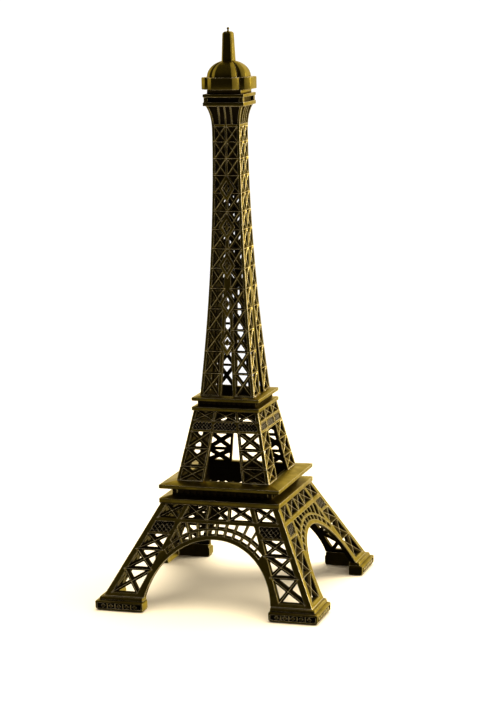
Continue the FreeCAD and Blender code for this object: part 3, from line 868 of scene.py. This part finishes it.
def makeShaftPanels():
    d = shaftDims
    floors = [secondDeckTop]
    for i in range(d["bays"]):
        floors.append(floors[-1] + d["firstBay"] - d["bayShrink"] * i)
    flareStart = floors[-2]
    levels = evenly(secondDeckTop, flareStart, d["levels"])[:-1]
    levels += evenly(flareStart, shaftTop, d["flareLevels"])
    panel = loopSolid("shaftFlat", slabLoops(levels, shaftHalf, d["thick"]))
    through = openingProfile(d, d["bar"], d["rail"])
    relief = openingProfile(d, d["bar"], d["rail"], blind=d["blindDepth"])
    tools = []
    for i, (low, high) in enumerate(zip(floors, floors[1:])):
        low, high = low + d["rail"] / 2, high - d["rail"] / 2
        kinds = bayKinds(i, d["bays"])
        openings = bothHalves(crossOpenings(bay(shaftInner, shaftOuter, low, high, kinds), d["bar"]))
        tools += openingTools(openings, relief if i >= d["bays"] - d["blindBays"] else through, d["corner"])
    gapLow, gapTip = d["gapLow"], d["gapTip"]
    gapTop = secondDeckTop + (gapLow - gapTip) / d["gapClose"]
    gap = [(-gapLow, secondDeckTop - 1.0), (gapLow, secondDeckTop - 1.0), (gapTip, gapTop), (-gapTip, gapTop)]
    gap = [corner + ("frame",) for corner in gap]
    tools += openingTools([gap], through, d["corner"])
    carve(panel, tools + fluteTools())
    castSides(panel, "shaft", shaftHalf, (1, 2, 3))
    raised = []
    for i in range(ornament["count"]):
        raised += raisedLozenge(ornament["highZ"] - i * ornament["pitch"])
    carve(panel, raised, "UNION")
    castSides(panel, "shaft", shaftHalf, (0,))
    bpy.data.objects.remove(panel)


makeShaftPanels()
print("shaft ready")


# platforms

blockCorner = {"radius": 0.2, "steps": 3, "bevel": 0.16}   # upright corners and flat edges of the blocks


def squareLoop(half, z, radius):
    points = []
    for corner in range(4):
        turn = math.pi / 2 * corner
        middle = Matrix.Rotation(turn, 2) @ Vector((half - radius, half - radius))
        for i in range(blockCorner["steps"] + 1):
            angle = turn + math.pi / 2 * i / blockCorner["steps"]
            points.append((middle.x + radius * math.cos(angle), middle.y + radius * math.sin(angle), z))
    return points


def squareRing(name, section, soften=0.14, cornerRadius=blockCorner["radius"]):
    # a square frame swept from a section of (half-width, height) corners
    loops = [squareLoop(half, z, cornerRadius) for half, z in rounded(section, soften)]
    return loopSolid(name, loops, closed=True)


def squareBlock(name, levels):
    return loopSolid(name, [squareLoop(half, z, blockCorner["radius"]) for half, z in levels])


def plateSection(node, opening, innerHalf, edgeHigh, bevel):
    low, high = boxOf(node)
    out = high.x
    return [(opening, low.z), (out - bevel, low.z), (out, low.z + bevel), (out, low.z + edgeHigh),
            (innerHalf, high.z), (opening, high.z)]


# rows of niches: shares of the wall and of a pitch that they take, how the back edge narrows, and the wall
# left below and above them
niche = {"spread": 0.95, "wide": 0.33, "backStep": 0.08, "backShrink": 0.1, "below": 0.3, "above": 0.35}


def nicheTools(half, low, high, count, deep):
    # small round-headed niches in a row along all four walls
    pitch = 2 * half * niche["spread"] / count
    wide = pitch * niche["wide"]
    spring = high - wide
    loops = []
    for depth, shrink in ((-0.5, 0.0), (deep - niche["backStep"], 0.0), (deep, niche["backShrink"])):
        reach = wide - shrink
        angles = [math.pi * i / 6 for i in range(7)]
        arch = [(reach * math.cos(angle), spring + reach * math.sin(angle)) for angle in angles]
        base = [(-reach, low + shrink), (reach, low + shrink)]
        loops.append([(s, depth - half, z) for s, z in arch + base])
    first = loopSolid("tool", loops)
    tools = []
    for quarter in range(4):
        for i in range(count):
            copy = turnedCopy(first, "tool", 0)
            copy.data.transform(Matrix.Translation(((i + 0.5 - count / 2) * pitch, 0, 0)))
            copy.data.transform(Matrix.Rotation(quarter * math.pi / 2, 4, "Z"))
            tools.append(copy)
    bpy.data.objects.remove(first)
    return tools


platformDims = {
    "first": {
        "well": 13.9, "plateEdge": 1.65, "deckEdge": 1.3, "bevel": 0.25, "niches": 14, "nicheDeep": 0.55,
    },
    "second": {
        "well": 7.8, "plateEdge": 1.2, "deckEdge": 1.1, "bevel": 0.2, "niches": 11, "nicheDeep": 0.4,
    },
}
shade = {"wall": 0.5, "inside": 1.2}   # recess given to gallery walls and to faces turned inwards, turning them black: painted shade
screwBevels = {"first_platform_screws": 0.12, "second_platform_screws": 0.06, "top_screw": 0.15}


def makePlatform(name, d, deckInner):
    plate, gallery, deck = [name + "_platform_" + part for part in ("plate", "gallery", "deck")]
    galleryLow, galleryHigh = boxOf(gallery)
    half = galleryHigh.x
    for part, node, innerHalf, edgeHigh in (("Plate", plate, half, d["plateEdge"]),
                                            ("Deck", deck, deckInner, d["deckEdge"])):
        ring = squareRing(name + part, plateSection(node, d["well"], innerHalf, edgeHigh, d["bevel"]))
        # faces by the well are turned black: painted shade
        setRecess(ring, lambda p: 0.0 if max(abs(p.x), abs(p.y)) > d["well"] + 0.3 else shade["inside"])
        finishPiece(ring, node)
    low, high, well = galleryLow.z, galleryHigh.z, d["well"]
    wall = squareRing(name + "Gallery", [(well, low), (half, low), (half, high), (well, high)], 0.05, 0.1)
    low, high = low + niche["below"], high - niche["above"]
    carve(wall, nicheTools(half, low, high, d["niches"], d["nicheDeep"]))
    # the gallery wall and its inward faces are turned black: painted shade
    setRecess(wall, lambda p: shade["wall"] if max(abs(p.x), abs(p.y)) > half - 0.05 else shade["inside"])
    # the gallery wall takes the near-black colours: painted shade under the deck
    finishPiece(wall, gallery, "blackened_brass")


def softenScrews(node, width):
    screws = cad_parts[node]
    screws.data.materials.clear()
    screws.data.materials.append(screwBrass)
    soft = screws.modifiers.new("soften", "BEVEL")
    soft.width = width * mm
    soft.limit_method = "ANGLE"
    soft.segments = 2


makePlatform("first", platformDims["first"], midLow)
makePlatform("second", platformDims["second"], shaftLow)
for node, width in screwBevels.items():
    softenScrews(node, width)
print("platforms ready")


# feet

footDims = {
    "rimTop": 3.1, "strip": 4.7, "radius": 0.45, "cornerSteps": 3,
    "bandLow": 0.85, "bandHigh": 2.5, "bandDeep": 0.4, "bandMargin": 0.75, "bandRadius": 0.25,
    "motifs": 5, "rowMargin": 0.7, "motifGap": 0.12, "motifRadius": 0.1, "lozengeWide": 0.30, "barWide": 0.07,
}


def rectLoop(xLow, xHigh, yLow, yHigh, z):
    radius, steps = footDims["radius"], footDims["cornerSteps"]
    points = []
    for (x, y, turn) in ((xHigh, yHigh, 0), (xLow, yHigh, 1), (xLow, yLow, 2), (xHigh, yLow, 3)):
        cx = x - radius if x == xHigh else x + radius
        cy = y - radius if y == yHigh else y + radius
        for i in range(steps + 1):
            angle = math.pi / 2 * (turn + i / steps)
            points.append((cx + radius * math.cos(angle), cy + radius * math.sin(angle), z))
    return points


def reliefRow(inner, outer, low, high, face):
    # lozenges and uprights in turn, standing in the sunk band of one face
    d = footDims
    motifs = []
    pitch = (outer - inner - 2 * d["rowMargin"]) / d["motifs"]
    middleZ, halfHigh = (low + high) / 2, (high - low) / 2 - d["motifGap"]
    rows = [(d["bandDeep"] + 0.2, 0.12), (d["bandDeep"], 0.1), (0.1, 0.0), (0.03, -0.07)]
    for i in range(2 * d["motifs"] - 1):
        s = inner + d["rowMargin"] + (i / 2 + 0.5) * pitch
        if i % 2 == 0:
            outline = lozenge(s, middleZ, pitch * d["lozengeWide"], halfHigh)
        else:
            wide = pitch * d["barWide"]
            outline = rectangle(s - wide, s + wide, middleZ - halfHigh, middleZ + halfHigh)
        motifs.append(profileSolid(outline, rows, d["motifRadius"], face))
    return motifs


def bandTool(inner, outer, low, high, face):
    rows = [(-0.8, 0.1), (0.0, 0.1), (0.1, 0.0), (footDims["bandDeep"], -0.05)]
    return profileSolid(rectangle(inner, outer, low, high), rows, footDims["bandRadius"], face)


def onOtherFace(tool):
    # carries a tool from a foot's front face to its outer side face
    tool.data.transform(Matrix(((0, -1, 0, 0), (-1, 0, 0, 0), (0, 0, 1, 0), (0, 0, 0, 1))))
    fixNormals(tool.data)
    return tool


def makeFeet():
    d = footDims
    low, high = boxOf("foot_front_right")
    inner, outer = low.x, high.x
    # rows: height, how far in from the inner sides, how far in from the outer sides
    rows = [(0.0, 0.55, 0.95), (0.12, 0.35, 0.7), (0.5, 0.15, 0.3), (0.85, 0.0, 0.05), (2.75, 0.0, 0.0),
            (2.95, 0.03, 0.06), (d["rimTop"], 0.12, 0.2), (3.2, 0.2, 0.55), (3.28, 0.3, 1.15),
            (3.34, 0.35, 1.2), (3.38, 0.3, 1.1), (3.5, 0.3, 1.05), (4.1, 0.32, 1.2), (4.3, 0.38, 1.35),
            (footTop, 0.5, 1.6)]
    loops = [rectLoop(inner + a, outer - b, -outer + b, -inner - a, z) for z, a, b in rows]
    foot = loopSolid("footBlock", loops)
    inside = outer - d["strip"]
    hollow = [rectLoop(inner - 2, inside, -inside, 2 - inner, z) for z in (-1.0, footTop + 1)]
    carve(foot, [loopSolid("tool", hollow)])
    band = (inner + d["bandMargin"], outer - d["bandMargin"], d["bandLow"], d["bandHigh"], outer)
    carve(foot, [bandTool(*band), onOtherFace(bandTool(*band))])
    carve(foot, reliefRow(*band) + [onOtherFace(motif) for motif in reliefRow(*band)], "UNION")
    edge = outer - 0.12

    # the sunk band behind the relief is turned black: patina and painted shade
    def depthAt(p):
        inBand = d["bandLow"] < p.z < d["bandHigh"] and max(p.x, -p.y) < edge
        return 1.0 if inBand and min(p.x, -p.y) > inner + 0.5 else 0.0

    setRecess(foot, depthAt)
    for quarter, corner in enumerate(("front_right", "back_right", "back_left", "front_left")):
        copy = turnedCopy(foot, "foot_" + corner + "_cast", quarter)
        finishPiece(copy, "foot_" + corner)
    bpy.data.objects.remove(foot)


makeFeet()
print("feet ready")


# top platform, cabin, dome, spire

topDims = {
    "pier": 5.1, "recessDeep": 0.9, "core": 5.0, "shoulder": 6.4, "faceHalf": 3.4, "cabinRound": 0.18,
    "domeInset": 0.8, "domeHeight": 5.2, "domeCrease": 0.16, "domeSteps": 26, "spireFoot": 0.4,
    "spireChamfer": 0.5, "spireHead": 1.58, "spireShoulder": 177.8, "spireRound": 0.06, "spireClose": 0.9,
}
# the tip's collar as rows of radius and height, and the bead on it as an arc
tipDims = {"collar": [(0.45, -0.1), (0.42, 0.05), (0.28, 0.25), (0.22, 0.45)], "bead": 0.42, "from": -50,
           "sweep": 132, "beadSteps": 7, "sides": 20}


def edgedBlock(node):
    low, high = boxOf(node)
    half, bevel = high.x, blockCorner["bevel"]
    levels = [(half - bevel, low.z), (half - bevel * 0.3, low.z + bevel * 0.3), (half, low.z + bevel),
              (half, high.z - bevel), (half - bevel * 0.3, high.z - bevel * 0.3), (half - bevel, high.z)]
    return squareBlock(node + "_cast", levels)


def makeTopPlatform():
    for node in ("third_platform_plate", "third_platform_deck", "cabin_neck"):
        finishPlain(edgedBlock(node), node)
    low, high = boxOf("third_platform_gallery")
    half, pier, deep = high.x, topDims["pier"], topDims["recessDeep"]
    piece = squareBlock("third_platform_gallery_cast", [(half, low.z), (half, high.z)])
    tools = []
    for quarter in range(4):
        rows = [(-0.5, 0.06), (0.0, 0.06), (0.12, 0.0), (deep, 0.0)]
        tool = profileSolid(rectangle(-pier, pier, low.z - 1, high.z + 1), rows, 0.0, half)
        tool.data.transform(Matrix.Rotation(quarter * math.pi / 2, 4, "Z"))
        tools.append(tool)
    carve(piece, tools)
    # faces in the recesses are turned black: painted shade
    setRecess(piece, lambda p: 0.0 if max(abs(p.x), abs(p.y)) > half - 0.2 else shade["inside"])
    finishPiece(piece, "third_platform_gallery")


def fourfold(corners, scale=1.0):
    # the corners of one side, repeated on all four
    plan = []
    for quarter in range(4):
        for corner in corners:
            turned = Matrix.Rotation(quarter * math.pi / 2, 2) @ Vector(corner) * scale
            plan.append((turned.x, turned.y))
    return plan


def cabinPlan(scale=1.0):
    # a square core with a bow-fronted balcony on each side
    d, out = topDims, boxOf("cabin")[1].x
    arm = [(-d["core"], -d["shoulder"]), (-d["faceHalf"], -out), (d["faceHalf"], -out),
           (d["core"], -d["shoulder"]), (d["core"], -d["core"])]
    return fourfold(arm, scale)


def makeCabin():
    low, high = boxOf("cabin")
    rows = [(low.z, -0.2), (low.z + 0.06, -0.06), (low.z + 0.2, 0.0), (high.z - 0.22, 0.0),
            (high.z - 0.07, -0.07), (high.z, -0.22)]
    plan = [corner + ("frame",) for corner in cabinPlan()]
    loops = []
    for z, shrink in rows:
        loops.append([(x, y, z) for x, y in rounded(grown(plan, {"frame": shrink}), topDims["cabinRound"])])
    finishPlain(loopSolid("cabinCast", loops), "cabin")


def makeDome():
    # the cabin's plan closing in along a quarter ellipse
    low, steps = boxOf("cabin")[1].z, topDims["domeSteps"]
    loops = []
    for i in range(steps):
        angle = math.pi / 2 * i / steps
        scale = topDims["domeInset"] * math.cos(angle)
        corners = rounded(cabinPlan(scale), topDims["domeCrease"] * math.cos(angle))
        loops.append([(x, y, low + topDims["domeHeight"] * math.sin(angle)) for x, y in corners])
    finishPlain(loopSolid("domeCast", loops), "dome")


def chamferedSquare(half, chamfer, z):
    plan = fourfold([(half, -half + chamfer), (half, half - chamfer)])
    return [(x, y, z) for x, y in rounded(plan, topDims["spireRound"])]


def makeSpire():
    d, high = topDims, boxOf("spire")[1]
    foot = boxOf("dome")[1].z - d["spireFoot"]
    chamfer, halfHigh, shoulder = d["spireChamfer"], d["spireHead"], d["spireShoulder"]
    loops = [chamferedSquare(high.x, chamfer, foot), chamferedSquare(halfHigh, chamfer, shoulder)]
    for i in range(1, 6):
        angle = math.pi / 2 * i / 5
        half = halfHigh - d["spireClose"] * (1 - math.cos(angle))
        z = shoulder + (high.z - shoulder) * math.sin(angle)
        loops.append(chamferedSquare(half, chamfer * half / halfHigh, z))
    finishPlain(loopSolid("spireCast", loops), "spire")


def makeSpireTip():
    d = tipDims
    low, high = boxOf("spire")[1].z, boxOf("spire_tip")[1].z
    centre = high - low - d["bead"]
    rows = list(d["collar"])
    for i in range(d["beadSteps"] + 1):
        angle = math.radians(d["from"] + d["sweep"] * i / d["beadSteps"])
        rows.append((d["bead"] * math.cos(angle), centre + d["bead"] * math.sin(angle)))
    turns = [math.tau * i / d["sides"] for i in range(d["sides"])]
    loops = []
    for radius, z in rows:
        loops.append([(radius * math.cos(turn), radius * math.sin(turn), low + z) for turn in turns])
    finishPlain(loopSolid("spireTipCast", loops), "spire_tip")


makeTopPlatform()
makeCabin()
makeDome()
makeSpire()
makeSpireTip()
print("top ready")


# floor, light, camera

stageLook = {
    "floor": (0.88, 0.74, 0.50, 1), "floorRadius": 0.34, "floorSides": 96, "floorRoughness": 0.9,
    "tint": (1.0, 0.97, 0.92, 1), "dark": 0.02, "seen": 1.1,   # room's colour, base level, seen white
}

# soft lobes of the room: direction, where each starts and is full, strength
roomLobes = [
    ((0.66, 0.75, 0.0), 0.0, 0.5, 1.6),
    ((-0.45, -0.25, 0.857), 0.4, 1.0, 0.08),
    ((-0.93, 0.2, 0.25), 0.72, 0.96, 1.4),
]


def makeStage():
    radius, sides = stageLook["floorRadius"], stageLook["floorSides"]
    verts = [(0.0, 0.0, 0.0)]
    for i in range(sides):
        angle = math.tau * i / sides
        verts.append((radius * math.cos(angle), radius * math.sin(angle), 0.0))
    floor = newPiece("paleFloor", verts, [(0, i, i % sides + 1) for i in range(1, sides + 1)])
    paper = bpy.data.materials.new("palePaper")
    paper.use_nodes = True
    shader = paper.node_tree.nodes["Principled BSDF"]
    shader.inputs["Base Color"].default_value = stageLook["floor"]
    shader.inputs["Roughness"].default_value = stageLook["floorRoughness"]
    floor.data.materials.append(paper)
    floor.visible_glossy = False   # the metal doesn't mirror the floor; frontGlow stands in for it


def makeRoom():
    # dark in front, bright behind on the right and low on the left, faint from above, plain white where seen
    world = bpy.data.worlds.new("softRoom")
    world.use_nodes = True
    tree = world.node_tree
    back = tree.nodes["Background"]
    place = tree.nodes.new("ShaderNodeTexCoord")
    level = stageLook["dark"]
    for direction, start, full, strength in roomLobes:
        dot = tree.nodes.new("ShaderNodeVectorMath")
        dot.operation = "DOT_PRODUCT"
        dot.inputs[1].default_value = direction
        tree.links.new(place.outputs["Generated"], dot.inputs[0])
        lobe = mathNode(tree, "MULTIPLY", ramp(tree, dot.outputs["Value"], start, full), strength)
        level = mathNode(tree, "ADD", lobe, level)
    seen = tree.nodes.new("ShaderNodeLightPath").outputs["Is Camera Ray"]
    plain = mixColour(tree, seen, (0.0, 0.0, 0.0, 1), (1.0, 1.0, 1.0, 1))
    lit = tree.nodes.new("ShaderNodeMix")
    tree.links.new(plain, lit.inputs[0])
    tree.links.new(level, lit.inputs[2])
    lit.inputs[3].default_value = stageLook["seen"]
    tree.links.new(lit.outputs[0], back.inputs["Strength"])
    tree.links.new(mixColour(tree, seen, stageLook["tint"], (1.0, 1.0, 1.0, 1)), back.inputs["Color"])
    bpy.context.scene.world = world


# name, place, aim, width and height, watts, colour, whether reflections show it
lights = [
    ("keySoftbox", (0.85, 0.45, 0.30), (0, 0, 0.09), (0.4, 0.5), 8.0, (1.0, 0.96, 0.88), True),
    ("frontGlow", (-0.06, -0.19, 0.002), (-0.06, -0.19, 1.0), (0.4, 0.2), 0.18, (1.0, 0.97, 0.88), True),
    ("paperLight", (0.15, 0.2, 1.5), (0, 0.0, 0.0), (2.0, 2.0), 60.0, (1.0, 0.98, 0.95), False),
]


def addSoftLight(name, place, aim, size, power, colour, inMirror):
    lamp = bpy.data.lights.new(name, "AREA")
    lamp.shape = "RECTANGLE"
    lamp.size, lamp.size_y = size
    lamp.energy = power
    lamp.color = colour
    holder = bpy.data.objects.new(name, lamp)
    holder.location = place
    holder.rotation_euler = (Vector(place) - Vector(aim)).to_track_quat("Z", "Y").to_euler()
    holder.visible_glossy = inMirror
    holder.visible_camera = False
    bpy.context.scene.collection.objects.link(holder)


# angles in degrees, distance in metres, lens and sensor in millimetres, aim height as a share of the whole
viewFrom = {
    "azimuth": 17.39, "elevation": 10.16, "roll": -1.135, "distance": 0.6895, "lens": 107.9, "sensor": 36.0,
    "aimRight": 0.0017, "aimHeight": 0.4154, "clipStart": 0.01,
}


def makeCamera():
    v = viewFrom
    azimuth, elevation, roll = [math.radians(v[k]) for k in ("azimuth", "elevation", "roll")]
    right = Vector((math.cos(azimuth), math.sin(azimuth), 0))
    level = math.cos(elevation)
    back = Vector((math.sin(azimuth) * level, -math.cos(azimuth) * level, math.sin(elevation)))
    up = back.cross(right)
    across = right * math.cos(roll) + up * math.sin(roll)
    upward = back.cross(across)
    aim = right * v["aimRight"] + Vector((0, 0, v["aimHeight"] * (cadBox[1][2] - cadBox[0][2])))
    lens = bpy.data.cameras.new("camera")
    lens.sensor_width = v["sensor"]
    lens.lens = v["lens"]
    lens.clip_start = v["clipStart"]
    camera = bpy.data.objects.new("camera", lens)
    placed = Matrix((across, upward, back)).transposed().to_4x4()
    placed.translation = aim + back * v["distance"]
    camera.matrix_world = placed
    bpy.context.scene.collection.objects.link(camera)
    bpy.context.scene.camera = camera


makeStage()
makeRoom()
for row in lights:
    addSoftLight(*row)
makeCamera()
bpy.context.scene.view_settings.view_transform = "Standard"
print("stage ready")
